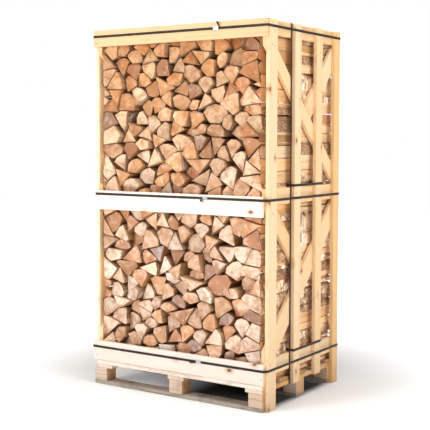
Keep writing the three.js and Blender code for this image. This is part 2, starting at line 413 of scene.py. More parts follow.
def nail_finish():
    """Flat nail heads, bright steel going dull brown."""
    finish = Finish("nail_steel", metallic=0.35, specular=0.5)
    rust = finish.noise(finish.place(), 160.0, 4.0, 0.65)
    colour = finish.mix(rust.step(0.42, 0.66), paint(176, 166, 150), paint(132, 96, 68))
    return finish.apply(colour, 0.4 + rust * 0.35, rust, 0.0003)


def floor_finish():
    """Plain pale studio floor that glows white far out, with a painted shadow under the pallet that
    fades out towards its left opening, where a faint bluish glow is painted instead.
    """
    finish = Finish("studio_floor", roughness=0.85, specular=0.1)
    grain = finish.noise(finish.place(), 40.0, 3.0)
    colour = finish.mix(grain, paint(248, 248, 248), paint(251, 251, 251))
    x, y, _ = finish.split(finish.place())
    # Painted shadow: the floor is dark under the pallet, but for its left opening.
    dark = x.step(0.6, 0.54) * x.step(-0.35, 0.1) * y.size().step(0.43, 0.3)
    colour = finish.mix(dark * 0.95, colour, paint(58, 60, 64))
    glow = finish.length(finish.place()).step(0.8, 2.4)
    # Painted light: a faint bluish glow on the floor under the pallet's left opening.
    under = x.step(-0.62, -0.54) * x.step(0.05, -0.3) * y.size().step(0.43, 0.4)
    white = finish.joined(glow + under * 0.16, glow + under * 0.19, glow + under * 0.22)
    finish.tree.links.new(white.output, finish.shader.inputs["Emission Color"])
    finish.shader.inputs["Emission Strength"].default_value = 0.85
    return finish.apply(colour)


# Sawn timbers: pale, warm and dark paint, strength of the rings, dirt, yellowing of the ends
TIMBERS = {
    "front_board": ((250, 240, 230), (242, 202, 154), (212, 160, 112), 0.7, 0.0, 0.35),
    "wall_board": ((248, 226, 192), (240, 198, 142), (204, 144, 88), 0.9, 0.0, 0.35),
    "pallet_runner": ((206, 196, 184), (180, 164, 148), (120, 102, 88), 1.0, 0.8, 0.35),
    "pallet_deck": ((250, 236, 222), (234, 194, 146), (176, 128, 86), 0.9, 0.25, 0.9),
    "pallet_cross": ((246, 228, 212), (232, 198, 160), (176, 128, 86), 0.9, 0.3, 0.9),
    "pallet_block": ((246, 226, 210), (228, 190, 150), (160, 116, 80), 1.2, 0.3, 0.7),
}
TIMBER = {kind: timber(kind + "_timber", *values) for kind, values in TIMBERS.items()}
LOG_MATERIALS = [log_end_finish(), split_face_finish(), bark_finish(), bark_rim_finish()]
LOG_END, LOG_SPLIT, LOG_BARK, LOG_RIM = range(4)
STRAP = strap_finish()
STEEL = seal_finish()
NAIL = nail_finish()


# ---------------------------------------------------------------- pieces


def as_object(bm, name, materials):
    mesh = bpy.data.meshes.new(name)
    bm.to_mesh(mesh)
    bm.free()
    for material in materials:
        mesh.materials.append(material)
    made = bpy.data.objects.new(name, mesh)
    bpy.context.scene.collection.objects.link(made)
    return made


def finish_piece(bm, name, materials, nodes=()):
    """Makes the mesh an object of the crate, in the place of the given nodes."""
    piece = as_object(bm, name, materials)
    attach(piece, "root")
    if nodes:
        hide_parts(*nodes)


def bevel(bm, edges, offset):
    shape = {"segments": 2, "profile": 0.5, "affect": "EDGES", "material": -1}
    bmesh.ops.bevel(bm, geom=edges, offset=offset, **shape)


def cut_across(bm, place, normal):
    geometry = bm.verts[:] + bm.edges[:] + bm.faces[:]
    bmesh.ops.bisect_plane(bm, geom=geometry, plane_co=place, plane_no=normal)


def of_kind(made, kind):
    """The points, edges or faces among what an operator made."""
    return [item for item in made["geom"] if isinstance(item, kind)]


# ---------------------------------------------------------------- sawn boards

CHAMFER = 0.0016
BLOCK_CHAMFER = 0.0025
BLOCK_AXES = (Vector((1, 0, 0)), Vector((0, 0, 1)), Vector((0, -1, 0)))
CUT_SPACING = 0.11
EDGE_WANDER = 0.0022
FACE_WANDER = 0.0007
PALLET_SIDE = 0.577  # the cross boards' sides beyond this are yellowed

# Boards whose colour is known: (hue from pale to warm, light)
BOARD_TONES = {
    "front_board_top": (1.0, 0.93),
    "front_board_middle": (0.0, 1.04),
    "front_board_bottom": (0.12, 1.0),
    "pallet_deck_board_1": (0.0, 1.1),
    # Deck boards 2 to 5 are given a low light: painted shade on their ends, which lie deep in the
    # pallet's slots.
    "pallet_deck_board_2": (0.8, 0.74),
    "pallet_deck_board_3": (0.9, 0.78),
    "pallet_deck_board_4": (0.8, 0.7),
    "pallet_deck_board_5": (0.9, 0.76),
    "pallet_cross_board_left": (0.0, 1.0),
    "pallet_cross_board_centre": (0.2, 0.98),
    "pallet_cross_board_right": (0.0, 1.02),
    "left_batten_1": (0.0, 1.04),
    "right_batten_1": (0.4, 0.97),
    "right_batten_2": (0.4, 0.98),
    "right_batten_3": (0.6, 0.97),
    "right_batten_4": (1.0, 0.95),
}

# How a node's name starts, its timber, and its slot
BOARD_KINDS = [
    (("front_board", "back_board"), "front_board", "crate_boards"),
    (("left_", "right_"), "wall_board", "wall_boards"),
    (("pallet_block",), "pallet_block", "pallet_blocks"),
    (("pallet_runner",), "pallet_runner", "pallet_boards"),
    (("pallet_deck",), "pallet_deck", "pallet_boards"),
    (("pallet_cross",), "pallet_cross", "pallet_boards"),
]


def board_axes(points):
    """Directions along, across and through a board, from its corners."""
    spread = points - points.mean(0)
    vectors = np.linalg.eigh(spread.T @ spread)[1]
    along = Vector(vectors[:, 2])
    through = Vector(vectors[:, 0])
    if max(along, key=abs) < 0:
        along.negate()
    if max(through, key=abs) < 0:
        through.negate()
    return along, through.cross(along), through


def wear(vert, where, axes, half, seed):
    """Moves a point of a board inwards, so that the worn edges and faces wander."""
    edge_place = Vector((where.x * 5, seed * 3.1, math.copysign(4.0, where.y)))
    face_place = Vector((where.x * 3, seed * 5.7, math.copysign(9.0, where.z)))
    edge_share = abs(noise.noise(edge_place)) * abs(where.y) / half
    face_share = abs(noise.noise(face_place))
    vert.co -= axes[1] * math.copysign(edge_share * EDGE_WANDER, where.y)
    vert.co -= axes[2] * math.copysign(face_share * FACE_WANDER, where.z)


def make_board(node, kind, seed):
    """A sawn board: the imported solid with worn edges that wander, and its own grain."""
    bm = bmesh.new()
    bm.from_mesh(NODES[node].data)
    bmesh.ops.remove_doubles(bm, verts=bm.verts, dist=1e-5)
    bmesh.ops.dissolve_limit(bm, angle_limit=0.01, verts=bm.verts, edges=bm.edges)
    points = np.array([vert.co[:] for vert in bm.verts])
    is_block = kind == "pallet_block"
    axes = BLOCK_AXES if is_block else board_axes(points)
    chamfer = BLOCK_CHAMFER if is_block else CHAMFER
    bevel(bm, bm.edges[:], chamfer)
    middle = Vector(points.mean(0))
    reach = [(Vector(point) - middle).dot(axes[0]) for point in points]
    low, high = min(reach), max(reach)
    cuts = max(2, round((high - low) / CUT_SPACING))
    for index in range(1, cuts):
        cut_across(bm, middle + axes[0] * (low + (high - low) * index / cuts), axes[0])
    rng = np.random.default_rng(seed)
    hue, light = BOARD_TONES.get(node, (rng.uniform(0.1, 0.9), rng.uniform(0.92, 1.03)))
    tone = (hue, light, rng.uniform(0, 1))
    pith = (rng.uniform(-0.05, 0.05), rng.uniform(-0.05, 0.0))
    grain_layer = bm.verts.layers.float_vector.new("grain")
    tone_layer = bm.verts.layers.float_vector.new("tone")
    end_layer = bm.verts.layers.float.new("sawn_end")
    half = max(abs((Vector(point) - middle).dot(axes[1])) for point in points)
    for vert in bm.verts:
        where = Vector([(vert.co - middle).dot(axis) for axis in axes])
        vert[grain_layer] = (where.x + 2 * seed, where.y + pith[0], where.z + pith[1])
        vert[tone_layer] = tone
        at_end = abs(where.x) > (high - low) / 2 - chamfer / 4
        if kind == "pallet_cross":
            at_end = abs(vert.co.x) > PALLET_SIDE
        vert[end_layer] = float(at_end)
        wear(vert, where, axes, half, seed)
    finish_piece(bm, node + "_timber", [TIMBER[kind]], [node])


def make_boards():
    """Every board and block of the crate and its pallet."""
    for seed, node in enumerate(sorted(NODES), 2):
        for starts, kind, slot in BOARD_KINDS:
            if node.startswith(starts):
                make_board(node, kind, seed)


# ---------------------------------------------------------------- stacking the logs
# A tier is packed in millimetres, as log sections dropped one by one into the lowest hollow.

NOWHERE = 1e9  # cost of a place that a log can't take
COLUMN = 3.0  # width of one sample of the pile's top
SHAPES_TRIED = 4
TURNS_TRIED = 12
MOST_HOLLOW = 34.0  # a log that would leave a deeper hollow under it isn't placed
ARC_STEP = 20.0  # degrees of bark to one edge
KERF = 2.6  # gap left between two logs
SHARP = 0.75  # corners that turn more than this, in radians, are blunted
BLUNT = 2.0
SHORTEST = 3.0  # shorter edges are left out of an outline
SHORTEST_SWOLLEN = 4.0  # and these while the logs swell
GROWTHS = (3.0, 1.8)  # how far the logs swell, in turn
SHRINK = 0.6  # taken off every log before that
BY_WALL = 14  # a log nearer to a side wall than this may turn its bark to it
NARROW = 50.0  # a gap beside a log that no other log would fit
NARROW_DEPTH = 40.0
NARROW_COST = 9.0
HEIGHT_COST = 0.2
TOUCH_WORTH = 4.0
WALL_TOP = 1e4
LEFT_OPEN = 40  # a pile this near to the rim is full
SHALLOW = 15  # sides of a hollow that is given up
RAISED = 16  # how far its floor rises
BARK_SLOPE = 0.2  # how far an edge has to face the wall to be bark
SHORTEST_ROUNDED = 24
ROUNDING = 0.2
WALL_REACH = 60.0  # what lies nearer to a side wall than this is drawn towards it
LEAST_GAP = 5.0  # a gap by a wall that is shallower than this stays empty
LEAST_SLIVER = 3  # and one that is lower than this many samples
MOST_SLIVER = 24
SLIVER_IN = 7.0  # how far in from the wall the slivers lie
WALL_PRESS = 0.6  # and at the wall, gaps shrink to this share
WALL_SWELL = 3.2  # logs by the walls swell more, so that no daylight shows between them
WALL_BARK = 0.75  # share of the logs against a side wall that show bark there


def log_section(rng):
    """Outline of a split log about its pith, and how many of its first edges are bark."""
    kind = rng.random()
    inner = 0.0
    if kind < 0.58:  # a quarter or a third of a round
        angle = math.radians(rng.uniform(44, 84))
        outer = rng.uniform(106, 150) * (1 if angle < 1.25 else 0.86)
    elif kind < 0.76:  # one whose heart was split off
        angle = math.radians(rng.uniform(42, 80))
        outer = rng.uniform(120, 168)
        inner = outer * rng.uniform(0.25, 0.5)
    elif kind < 0.85:  # half a thin round
        angle = math.radians(rng.uniform(120, 175))
        outer = rng.uniform(56, 80)
    else:  # a heart piece without bark
        angle = math.radians(rng.uniform(50, 95))
        outer = rng.uniform(92, 134)
    steps = max(2, round(math.degrees(angle) / ARC_STEP))
    turn = np.linspace(-angle / 2, angle / 2, steps + 1)
    arc = np.c_[np.cos(turn), np.sin(turn)] * outer
    if kind >= 0.85:
        arc = arc[[0, -1]]
    bark = len(arc) - 1 if kind < 0.85 else 0
    if inner == 0.0:
        return np.vstack([arc, [[0, 0]]]), bark
    skew = rng.uniform(-0.3, 0.3)
    reach = inner * math.cos(angle / 2)
    side = inner * math.sin(angle / 2)
    heart = [[(1 - skew) * reach, (1 - skew) * side], [(1 + skew) * reach, -(1 + skew) * side]]
    return np.vstack([arc, heart]), bark


def underside_and_top(section):
    """Lowest and highest point of an outline at each sample across it."""
    left = int(np.argmin(section[:, 0]))
    turned = np.roll(section, -left, 0)
    right = int(np.argmax(turned[:, 0]))
    count = max(3, math.ceil((turned[right, 0] - turned[0, 0]) / COLUMN) + 1)
    samples = np.linspace(turned[0, 0], turned[right, 0], count)
    under = turned[: right + 1]
    over = np.vstack([turned[right:], turned[:1]])[::-1]
    low = np.interp(samples, under[:, 0], under[:, 1])
    high = np.interp(samples, over[:, 0], over[:, 1])
    return low, high


def best_place(pile, hollow, low, high, ceiling):
    """Cost, sample, height and mean gap where a section lies best over the lowest hollow."""
    count = len(low)
    first = max(0, hollow - count + 1)
    last = min(len(pile) - count, hollow)
    if last < first:
        return NOWHERE, 0, 0.0, 0.0
    under = sliding_window_view(pile, count)[first : last + 1]
    rest = (under - low).max(1)
    gap = (rest[:, None] + low - under).mean(1)
    top = rest + high.max()
    side_level = rest + high.max() * 0.2
    walled = np.concatenate([[WALL_TOP], pile, [WALL_TOP]])
    starts = np.arange(first, last + 1)
    touching = (walled[starts] > side_level).astype(float)
    touching += walled[starts + count + 1] > side_level
    left, right = hollow_ends(pile, hollow, NARROW_DEPTH)
    beside = np.stack([starts - left, right + 1 - starts - count]) * COLUMN
    narrow = ((beside > 4) & (beside < NARROW)).sum(0)
    cost = gap + HEIGHT_COST * (top - pile[hollow]) - TOUCH_WORTH * touching + NARROW_COST * narrow
    cost = np.where(top > ceiling, NOWHERE, cost)
    best = int(np.argmin(cost))
    return cost[best], first + best, rest[best], gap[best]


def drop_logs(width, ceiling, rng):
    """Sections of a whole tier: (outline, bark edges, pith), each resting on those below."""
    pile = np.zeros(int(width / COLUMN))
    placed = []
    while pile.min() < ceiling - LEFT_OPEN:
        hollow = int(np.argmin(pile))
        best = (NOWHERE,)
        for _ in range(SHAPES_TRIED):
            section, bark = log_section(rng)
            start = rng.uniform(0, 2 * math.pi)
            for turn in range(TURNS_TRIED):
                angle = start + 2 * math.pi * turn / TURNS_TRIED
                cosine, sine = math.cos(angle), math.sin(angle)
                turned = section @ np.array([[cosine, sine], [-sine, cosine]])
                low, high = underside_and_top(turned)
                place = best_place(pile, hollow, low, high, ceiling)
                if place[0] < best[0]:
                    best = (*place, turned, bark, high)
        if best[0] >= NOWHERE or best[3] > MOST_HOLLOW:
            level_hollow(pile, hollow)
            continue
        _, sample, rest, _, turned, bark, high = best
        covered = slice(sample, sample + len(high))
        pile[covered] = np.maximum(pile[covered], rest + high)
        shift = np.array([sample * COLUMN - turned[:, 0].min(), rest])
        placed.append((turned + shift, bark, shift))
    return placed


def hollow_ends(pile, hollow, depth):
    """First and last sample of a hollow whose sides rise by less than a depth."""
    high = np.flatnonzero(pile > pile[hollow] + depth)
    left = high[high < hollow]
    right = high[high > hollow]
    return (left[-1] + 1 if len(left) else 0), (right[0] - 1 if len(right) else len(pile) - 1)


def level_hollow(pile, hollow):
    """Gives up a narrow hollow: it stays an empty gap, and its floor rises."""
    left, right = hollow_ends(pile, hollow, SHALLOW)
    pile[left : right + 1] = pile[hollow] + RAISED


def pushed_out(outline, distance):
    """An outline with every edge moved outwards."""
    ahead = np.roll(outline, -1, 0) - outline
    normals = np.c_[ahead[:, 1], -ahead[:, 0]] / np.hypot(*ahead.T)[:, None]
    reach = (normals * outline).sum(1) + distance
    corners = []
    for index, point in enumerate(outline):
        pair = np.array([normals[index - 1], normals[index]])
        if abs(np.linalg.det(pair)) < 1e-3:
            corners.append(point + normals[index] * distance)
        else:
            corners.append(np.linalg.solve(pair, [reach[index - 1], reach[index]]))
    return np.array(corners)


def trimmed(corners, normal, reach, flag=0):
    """Keeps the corners (x, z, bark) where normal . point <= reach. flag says if the cut is bark."""
    kept = []
    for index, here in enumerate(corners):
        ahead = corners[(index + 1) % len(corners)]
        inside = normal[0] * here[0] + normal[1] * here[1] - reach
        beyond = normal[0] * ahead[0] + normal[1] * ahead[1] - reach
        if inside <= 0:
            kept.append(here)
        if inside < 0 < beyond or beyond < 0 < inside:
            share = inside / (inside - beyond)
            x = here[0] + share * (ahead[0] - here[0])
            z = here[1] + share * (ahead[1] - here[1])
            kept.append((x, z, here[2] if inside > 0 else flag))
    return kept


def nearest_points(first, second):
    """Distance between two outlines, and the closest point on each."""
    best = (math.inf, None, None)
    for corners, edges, swapped in ((first, second, False), (second, first, True)):
        starts = edges[None]
        ahead = np.roll(edges, -1, 0)[None] - starts
        offset = corners[:, None] - starts
        share = np.clip((offset * ahead).sum(-1) / (ahead * ahead).sum(-1), 0, 1)
        feet = starts + share[..., None] * ahead
        distance = np.hypot(*np.moveaxis(corners[:, None] - feet, -1, 0))
        corner, edge = np.unravel_index(np.argmin(distance), distance.shape)
        if distance[corner, edge] < best[0]:
            pair = (corners[corner], feet[corner, edge])
            best = (distance[corner, edge], *(pair[::-1] if swapped else pair))
    return best


def nearest_flag(section, flags, point):
    """Whether the outline's edge nearest a point is bark."""
    middles = (section + np.roll(section, -1, 0)) / 2
    distance = np.hypot(*(middles - point).T)
    return flags[int(np.argmin(distance))]


def outline_area(outline):
    x, z = outline.T
    return 0.5 * abs(np.dot(x, np.roll(z, -1)) - np.dot(z, np.roll(x, -1)))


def swell(sections, width, ceiling, usual):
    """Swells every log into the gaps round it, and leaves a kerf to its neighbours."""
    outlines = [section[0] for section in sections]
    lows = np.array([outline.min(0) - 2 * usual for outline in outlines])
    highs = np.array([outline.max(0) + 2 * usual for outline in outlines])
    grown = []
    for index, (outline, bark, pith) in enumerate(sections):
        to_wall = min(outline[:, 0].min(), width - outline[:, 0].max())
        growth = usual * (WALL_SWELL if to_wall < NARROW else 1)
        moved = pushed_out(outline, growth)
        corners = [(x, z, flag) for (x, z), flag in zip(moved, bark)]
        middle = outline.mean(0)
        for corner in outline:
            away = (corner - middle) / np.hypot(*(corner - middle))
            corners = trimmed(corners, away, float(away @ corner) + growth * 1.1)
        near = np.where((lows < highs[index]).all(1) & (highs > lows[index]).all(1))[0]
        for other in near:
            if other == index:
                continue
            distance, here, there = nearest_points(outline, outlines[other])
            if distance > 2 * growth + 2 or distance < 1e-6:
                continue
            away = (there - here) / distance
            flag = nearest_flag(outline, bark, here)
            reach = float(away @ (here + there)) / 2 - KERF / 2
            corners = trimmed(corners, away, reach, flag)
        for normal, reach in (((-1, 0), 0.0), ((1, 0), width), ((0, -1), 0.0), ((0, 1), ceiling)):
            corners = trimmed(corners, normal, reach)
        points = without_short_edges(corners)
        new_outline = np.array([point[:2] for point in points])
        if len(points) < 3 or outline_area(new_outline) < 0.8 * outline_area(outline):
            grown.append((outline, bark, pith))
        else:
            grown.append((new_outline, [point[2] for point in points], pith))
    return grown


def without_short_edges(corners):
    kept = []
    for here, behind in zip(corners, corners[-1:] + corners[:-1]):
        if math.hypot(here[0] - behind[0], here[1] - behind[1]) > SHORTEST_SWOLLEN:
            kept.append(here)
    return kept


def stack_tier(width, height, seed):
    """Log sections of one tier: (outline, flag for each edge that is bark, pith), in mm."""
    rng = np.random.default_rng(seed)
    sections = []
    for outline, bark, pith in drop_logs(width, height, rng):
        flags = [1] * bark + [0] * (len(outline) - bark)
        sections.append((pushed_out(outline, -SHRINK), flags, pith))
    for growth in GROWTHS:
        sections = swell(sections, width, height, growth)
    sections = [pressed_to_wall(section, width) for section in sections]
    sections += wall_slivers(sections, width, height)
    sections = [barked_to_wall(section, width, rng) for section in sections]
    sections = [blunted(round_to_wall(section, width, rng), rng) for section in sections]
    return [section for section in sections if len(section[0]) > 2]


def pressed_to_wall(section, width):
    """Draws what lies near a side wall closer to it, so that no daylight shows between them."""
    outline, flags, pith = section
    outline = outline.copy()
    left = outline[:, 0] < width / 2
    gap = np.where(left, outline[:, 0], width - outline[:, 0])
    share = np.clip(gap / WALL_REACH, 0, 1)
    gap = gap * (WALL_PRESS + (1 - WALL_PRESS) * share * share)
    outline[:, 0] = np.where(left, gap, width - gap)
    return outline, flags, pith


def wall_slivers(sections, width, height):
    """Narrow split pieces that fill the gaps left between the pile and its side walls."""
    slivers = []
    levels = np.arange(2.0, height - 2.0, COLUMN)
    for at_right in (False, True):
        depth = np.full(len(levels), WALL_REACH)
        for outline, _, _ in sections:
            reach = width - outline[:, 0] if at_right else outline[:, 0]
            if reach.min() > WALL_REACH:
                continue
            turned = np.c_[outline[:, 1], reach]
            low, _ = underside_and_top(turned if at_right else turned[::-1])
            heights = np.linspace(outline[:, 1].min(), outline[:, 1].max(), len(low))
            depth = np.minimum(depth, np.interp(levels, heights, low, WALL_REACH, WALL_REACH))
        shut = [-1, *np.flatnonzero(depth < LEAST_GAP), len(levels)]
        for below, above in zip(shut, shut[1:]):
            parts = math.ceil((above - below) / MOST_SLIVER)
            ends = np.linspace(below, above, parts + 1).astype(int)
            for low, high in zip(ends, ends[1:]):
                if high - low >= LEAST_SLIVER:
                    slivers.append(wall_sliver(depth, levels, low, high, width, at_right))
    return slivers


def wall_sliver(depth, levels, low, high, width, at_right):
    """One sliver, from the gap's depth at each level, between two of the levels."""
    picks = np.linspace(max(low, 0), min(high, len(levels) - 1), 5).astype(int)
    reach = np.maximum(depth[picks] - KERF, SLIVER_IN + 4)
    reach[[0, -1]] = SLIVER_IN
    outline = np.c_[reach, levels[picks]]
    if at_right:
        outline = np.c_[width - reach, levels[picks]][::-1]
    return outline, [0] * 5, outline.mean(0)


def barked_to_wall(section, width, rng):
    """Turns a log beside a wall so that its bark faces the wall."""
    outline, _, pith = section
    left, right = outline[:, 0].min() < BY_WALL, outline[:, 0].max() > width - BY_WALL
    if not (left or right) or rng.random() > WALL_BARK:
        return section
    ahead = np.roll(outline, -1, 0) - outline
    facing = ahead[:, 1] / np.hypot(*ahead.T) * (1 if right else -1)
    return outline, [int(share > BARK_SLOPE) for share in facing], pith


def blunted(section, rng):
    """Takes the sharp corners off an outline."""
    outline, flags, pith = section
    points, new_flags = [], []
    for index, here in enumerate(outline):
        before = outline[index - 1] - here
        ahead = outline[(index + 1) % len(outline)] - here
        lengths = np.hypot(*before), np.hypot(*ahead)
        bend = math.acos(np.clip(-(before @ ahead) / (lengths[0] * lengths[1]), -1, 1))
        if bend < SHARP:
            points.append(here)
            new_flags.append(flags[index])
            continue
        cut = BLUNT * rng.uniform(0.5, 1.5)
        points.append(here + before * min(0.3, cut / lengths[0]))
        points.append(here + ahead * min(0.3, cut / lengths[1]))
        new_flags += [flags[index - 1], flags[index]]
    kept = [
        index
        for index, here in enumerate(points)
        if np.hypot(*(here - points[index - 1])) > SHORTEST
    ]
    return np.array(points)[kept], [new_flags[index] for index in kept], pith


def round_to_wall(section, width, rng):
    """Gives a log that lies flat against a side wall a round, barked side there."""
    outline, flags, pith = section
    for index, here in enumerate(outline):
        after = (index + 1) % len(outline)
        ahead = outline[after]
        length = float(np.hypot(*(ahead - here)))
        at_wall = max(here[0], ahead[0]) < 1 or min(here[0], ahead[0]) > width - 1
        if not at_wall or length < SHORTEST_ROUNDED or rng.random() > WALL_BARK:
            continue
        before = outline[index - 1] - here
        beyond = outline[(index + 2) % len(outline)] - ahead
        back = min(0.4, ROUNDING * length / np.hypot(*before))
        forth = min(0.4, ROUNDING * length / np.hypot(*beyond))
        flat = [here + (ahead - here) * share for share in (0.14, 0.5, 0.86)]
        arc = [here + before * back, *flat, ahead + beyond * forth]
        ring = [outline[(after + 1 + step) % len(outline)] for step in range(len(outline) - 2)]
        ring_flags = [flags[(after + step) % len(outline)] for step in range(len(outline) - 1)]
        return np.array(arc + ring), [1, 1, 1, 1] + ring_flags, pith
    return outline, flags, pith


# ---------------------------------------------------------------- log meshes

COLUMNS_PER_TIER = 6
SET_BACK = 0.024  # usual depth of a log's end behind the front ones
MOST_SET_BACK = 0.075
LEAST_SET_BACK = 0.002
INNER_SET_BACK = (0.002, 0.022)
EVENNESS = 0.05  # share of its set-back that a log by a wall keeps
BACK_PROUD = 0.028
RIM = 0.0045  # width of the bark seen at a log's end
FACETED = 0.5  # share of the ends that broke off along a second plane
END_CHAMFER = 0.0022
MOST_LEAN = 0.011  # how far an end's corners may lean out past its middle
TIE_GAP = 0.0022  # half the gap between two logs that a tie passes through
TIE_REACH = 0.009  # half the height of that gap
HALF_STRAP = 0.0006
TILT = 0.1  # slope of the sawn ends
TAPER = 0.02
UNEVEN = 0.0012
EVEN_REACH = 0.06  # logs nearer to a side wall than this are hardly set back


def break_end(bm, cap, middle, rng):
    """Folds a log's end back beyond a line across it. Returns the faces that this leaves."""
    turn = rng.uniform(0, 2 * math.pi)
    normal = Vector((math.cos(turn), 0, math.sin(turn)))
    line = Vector((middle[0], 0, middle[1])) + normal * rng.uniform(-0.012, 0.016)
    inward = -1 if cap.normal.y > 0 else 1
    geometry = [cap, *cap.edges, *cap.verts]
    made = bmesh.ops.bisect_plane(bm, geom=geometry, plane_co=line, plane_no=normal, dist=1e-5)
    parts = of_kind(made, bmesh.types.BMFace)
    depth = rng.uniform(0.12, 0.38)
    for vert in {vert for face in parts for vert in face.verts}:
        beyond = (vert.co - line).dot(normal)
        if beyond > 0:
            vert.co.y += inward * beyond * depth
    return parts


def keep_in_outline(verts, section, front, back):
    """Holds the points of a narrow rim inside the log that they belong to."""
    low, high = section.min(0), section.max(0)
    for vert in verts:
        vert.co.y = min(max(vert.co.y, front - MOST_LEAN), back + MOST_LEAN)
        vert.co.x = min(max(vert.co.x, low[0]), high[0])
        vert.co.z = min(max(vert.co.z, low[1]), high[1])


def draw_out(bm, section, ends, rng):
    """Draws a log's outline out along Y, a little askew. Returns the face that it ends in."""
    tilt = rng.normal(0, TILT, 2)
    middle = section.mean(0)
    corners = []
    for x, z in section:
        lean = (x - middle[0]) * tilt[0] + (z - middle[1]) * tilt[1]
        corners.append(bm.verts.new((x, ends[0] + lean, z)))
    end_face = bm.faces.new(corners)
    stations = np.linspace(*ends, 3)
    for index, (start, end) in enumerate(zip(stations, stations[1:])):
        made = bmesh.ops.extrude_face_region(bm, geom=[end_face])
        verts = of_kind(made, bmesh.types.BMVert)
        end_face = of_kind(made, bmesh.types.BMFace)[0]
        bmesh.ops.translate(bm, verts=verts, vec=(0, end - start, 0))
        for vert in verts:
            jitter = rng.normal(0, UNEVEN, 2)
            vert.co.x -= (vert.co.x - middle[0]) * TAPER * index + jitter[0]
            vert.co.z -= (vert.co.z - middle[1]) * TAPER * index + jitter[1]
    return end_face


def faces_joined_to(face):
    waiting = [face]
    faces = {face}
    while waiting:
        for edge in waiting.pop().edges:
            for other in edge.link_faces:
                if other not in faces:
                    faces.add(other)
                    waiting.append(other)
    return faces


def is_bark(face, section, flags):
    place = face.calc_center_median()
    return nearest_flag(section, flags, (place.x, place.z))


def finish_end(bm, cap, section, flags, rng):
    """Gives a log's end its rim, and breaks some ends. Returns the faces that this adds."""
    shape = {"thickness": RIM, "depth": END_CHAMFER, "use_even_offset": True}
    added = set(bmesh.ops.inset_region(bm, faces=[cap], **shape)["faces"])
    for face in added:
        face.material_index = LOG_RIM if is_bark(face, section, flags) else LOG_END
    if rng.random() < FACETED:
        added.update(break_end(bm, cap, section.mean(0), rng))
    return added


def add_log(bm, layers, section, flags, pith, ends, tone, rng):
    """One split log, with bark on the flagged edges of its outline."""
    faces = faces_joined_to(draw_out(bm, section, ends, rng))
    bmesh.ops.recalc_face_normals(bm, faces=list(faces))
    caps = [face for face in faces if abs(face.normal.y) > 0.7]
    caps.sort(key=lambda face: face.calc_center_median().y)
    for face in faces:
        if face in caps:
            face.material_index = LOG_END
        else:
            face.smooth = bool(is_bark(face, section, flags))
            face.material_index = LOG_BARK if face.smooth else LOG_SPLIT
    for cap in caps:
        faces.update(finish_end(bm, cap, section, flags, rng))
    verts = {vert for face in faces for vert in face.verts}
    keep_in_outline(verts, section, *ends)
    grain, shade, rim = layers
    for vert in verts:
        on_side = any(face.material_index in (LOG_BARK, LOG_SPLIT) for face in vert.link_faces)
        vert[rim] = float(on_side)
        vert[grain] = (vert.co.x - pith[0], vert.co.z - pith[1], vert.co.y)
        vert[shade] = tone
    for edge in {edge for face in faces for edge in face.edges}:
        edge.smooth = {other.material_index for other in edge.link_faces} == {LOG_BARK}


def log_tone(rng, z, height):
    """(hue, light, seed) of a log. Logs high in the pile are darker."""
    share = z / (height * MM)
    hue = float(np.clip(rng.beta(1.6, 2.2) * 0.84 + 0.14 * share, 0, 0.88))
    if rng.random() < 0.05:
        hue = rng.uniform(0.9, 1.0)
    light = rng.normal(1.12, 0.1) - 0.24 * share
    if rng.random() < 0.12:
        light -= 0.13
    return (hue, float(np.clip(light, 0.6, 1.3)), rng.uniform(0, 1))


def tier_columns(node, seed):
    """A tier's logs in metres, (outline, bark flags, pith), by the column that they stand in."""
    low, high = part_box(node)
    corner = np.array([low.x, low.z])
    columns = {}
    for outline, flags, pith in stack_tier((high.x - low.x) / MM, (high.z - low.z) / MM, seed):
        section = outline * MM + corner
        share = (section.mean(0)[0] - low.x) / (high.x - low.x)
        column = int(np.clip(share * COLUMNS_PER_TIER, 0, COLUMNS_PER_TIER - 1))
        columns.setdefault(column, []).append((section, flags, pith * MM + corner))
    return sorted(columns.items())


def log_spans(section, ends, ties):
    """Where a log runs along Y: in two parts if a tie passes through it."""
    spans = [sorted(ends)]
    for y, z in ties:
        if section[:, 1].min() < z + TIE_REACH and section[:, 1].max() > z - TIE_REACH:
            start, end = spans[0]
            spans = [(start, y - TIE_GAP), (y + TIE_GAP, end)]
    return spans


def make_tier(node, seed, outer_end, inner_end):
    """All logs of one tier, joined into a few pieces that each stand as high as the tier."""
    low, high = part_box(node)
    height = (high.z - low.z) / MM
    ties = tie_crossings(node)
    rng = np.random.default_rng(seed + 100)
    facing = 1 if inner_end > outer_end else -1
    for column, logs in tier_columns(node, seed):
        bm = bmesh.new()
        kinds = bm.verts.layers
        layers = (kinds.float_vector.new("grain"), kinds.float_vector.new("tone"))
        layers += (kinds.float.new("rim"),)
        for section, flags, pith in logs:
            tone = log_tone(rng, section[:, 1].mean(), height)
            set_back = min(MOST_SET_BACK, abs(rng.normal(0, SET_BACK)))
            if min(section[:, 0].min() - low.x, high.x - section[:, 0].max()) < EVEN_REACH:
                set_back *= EVENNESS
            set_back = set_back + LEAST_SET_BACK - proud(section, outer_end)
            outer = outer_end + facing * set_back
            inner = inner_end - facing * rng.uniform(*INNER_SET_BACK)
            for span in log_spans(section, (outer, inner), ties):
                add_log(bm, layers, section, flags, pith, span, tone, rng)
        finish_piece(bm, f"{node}_column_{column + 1}", LOG_MATERIALS, [node])


def proud(section, outer_end):
    """How far a log at the back sticks out past the walls' rails, where no board is in its way."""
    if outer_end < 0:
        return 0.0
    for level in ("top", "middle", "bottom"):
        low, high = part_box(f"back_board_{level}")
        if section[:, 1].max() > low.z - 0.004 and section[:, 1].min() < high.z + 0.004:
            return 0.0
    return BACK_PROUD


